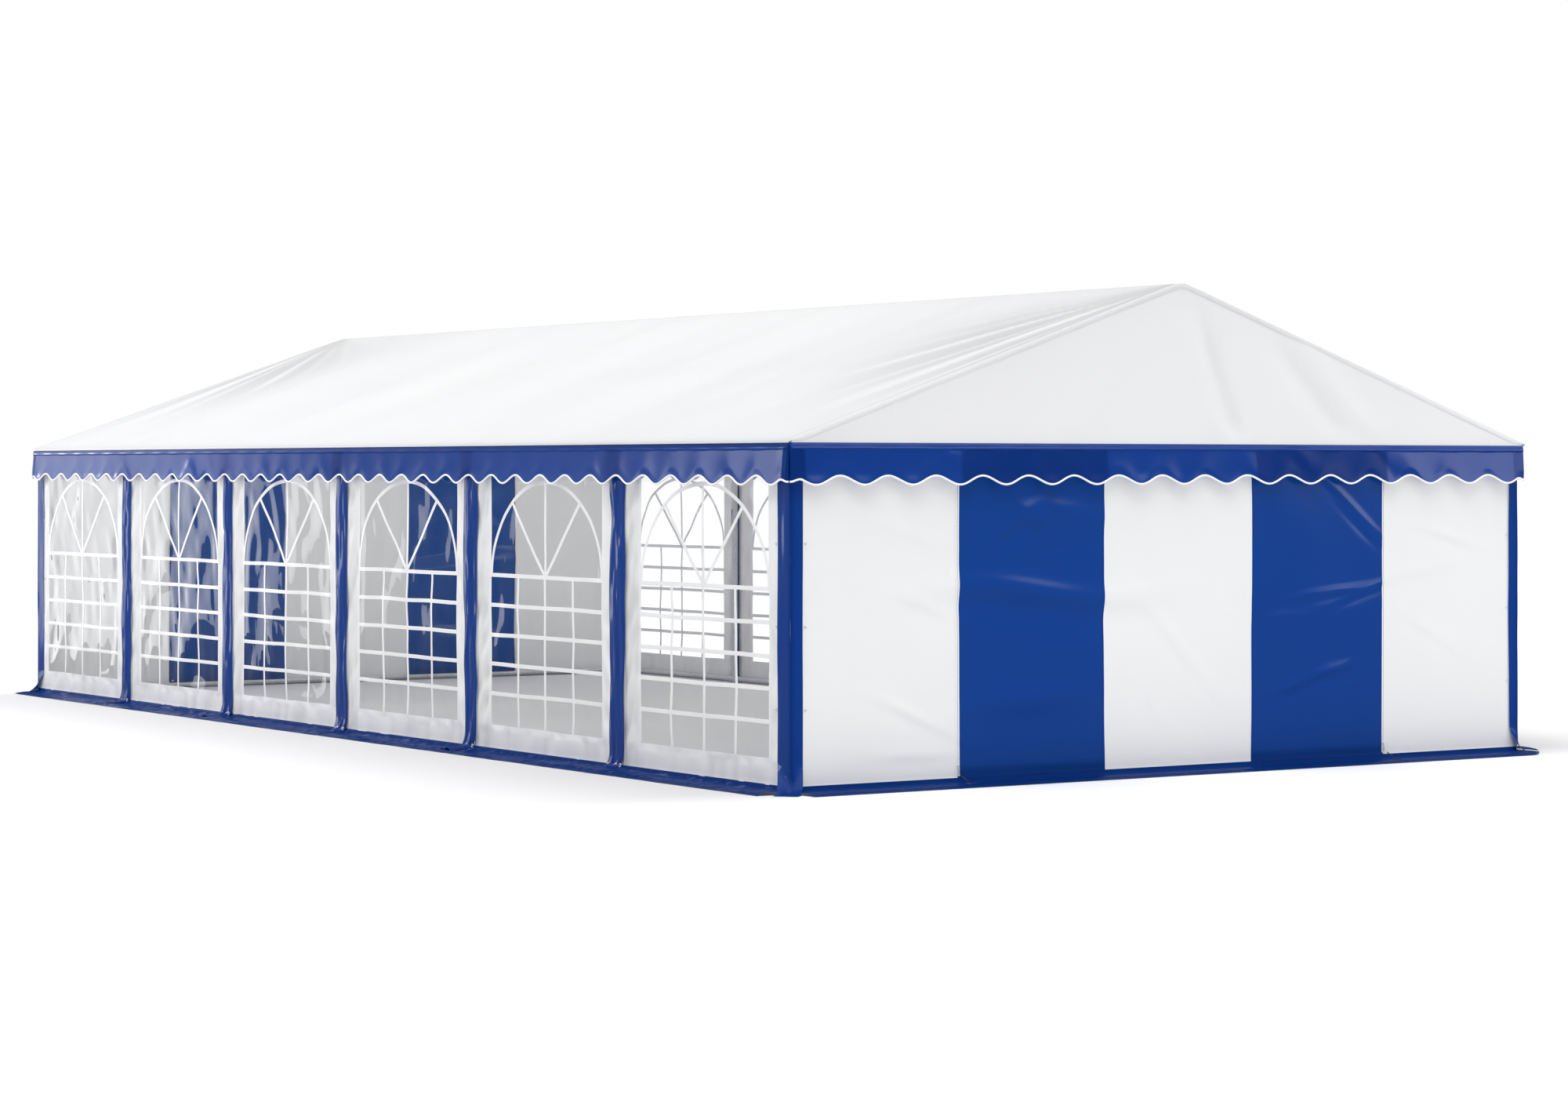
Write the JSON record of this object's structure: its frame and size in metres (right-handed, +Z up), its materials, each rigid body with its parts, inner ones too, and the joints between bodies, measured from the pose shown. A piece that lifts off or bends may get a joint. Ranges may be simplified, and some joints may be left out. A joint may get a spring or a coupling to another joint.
{
  "type": "marquee tent",
  "caption": "Long marquee tent with a white ridged roof, blue waved valance and corner trims, clear window walls with white glazing bars, and striped gable walls.",
  "frame": {"origin": "on the ground, under the middle of the tent", "axes": "+Z up, +Y along the ridge towards the back gable, +X across the gables to the right as seen from in front of the front gable, which faces -Y"},
  "size_m": [6.47, 12.5, 3.1499],
  "materials": {
    "white_pvc": "smooth coated sheet, satin",
    "blue_pvc": "smooth coated sheet, glossy",
    "clear_film": "clear flexible film, glossy and slightly wavy",
    "galvanised_steel": "galvanised, spangled"
  },
  "bodies": {
    "root": {"back_door_curtain": "white_pvc", "back_gable_frame": "galvanised_steel", "back_gable_top": "white_pvc", "back_left_corner_cover": "blue_pvc", "back_left_gable_panel": "white_pvc", "back_right_corner_cover": "blue_pvc", "back_right_gable_panel": "white_pvc", "back_valance": "blue_pvc", "front_door_curtain": "white_pvc", "front_gable_frame": "galvanised_steel", "front_gable_top": "white_pvc", "front_left_corner_cover": "blue_pvc", "front_left_gable_panel": "white_pvc", "front_right_corner_cover": "blue_pvc", "front_right_gable_panel": "white_pvc", "front_valance": "blue_pvc", "left_eave_purlin": "galvanised_steel", "left_ground_bar": "galvanised_steel", "left_mid_purlin": "galvanised_steel", "left_roof_slope": "white_pvc", "left_valance": "blue_pvc", "left_window_film_1": "clear_film", "left_window_film_2": "clear_film", "left_window_film_3": "clear_film", "left_window_film_4": "clear_film", "left_window_film_5": "clear_film", "left_window_film_6": "clear_film", "left_window_panel_1": "white_pvc", "left_window_panel_2": "white_pvc", "left_window_panel_3": "white_pvc", "left_window_panel_4": "white_pvc", "left_window_panel_5": "white_pvc", "left_window_panel_6": "white_pvc", "portal_frame_1": "galvanised_steel", "portal_frame_2": "galvanised_steel", "portal_frame_3": "galvanised_steel", "portal_frame_4": "galvanised_steel", "portal_frame_5": "galvanised_steel", "ridge_purlin": "galvanised_steel", "right_eave_purlin": "galvanised_steel", "right_ground_bar": "galvanised_steel", "right_mid_purlin": "galvanised_steel", "right_roof_slope": "white_pvc", "right_valance": "blue_pvc", "right_window_film_1": "clear_film", "right_window_film_2": "clear_film", "right_window_film_3": "clear_film", "right_window_film_4": "clear_film", "right_window_film_5": "clear_film", "right_window_film_6": "clear_film", "right_window_panel_1": "white_pvc", "right_window_panel_2": "white_pvc", "right_window_panel_3": "white_pvc", "right_window_panel_4": "white_pvc", "right_window_panel_5": "white_pvc", "right_window_panel_6": "white_pvc"}
  },
  "joints": []
}
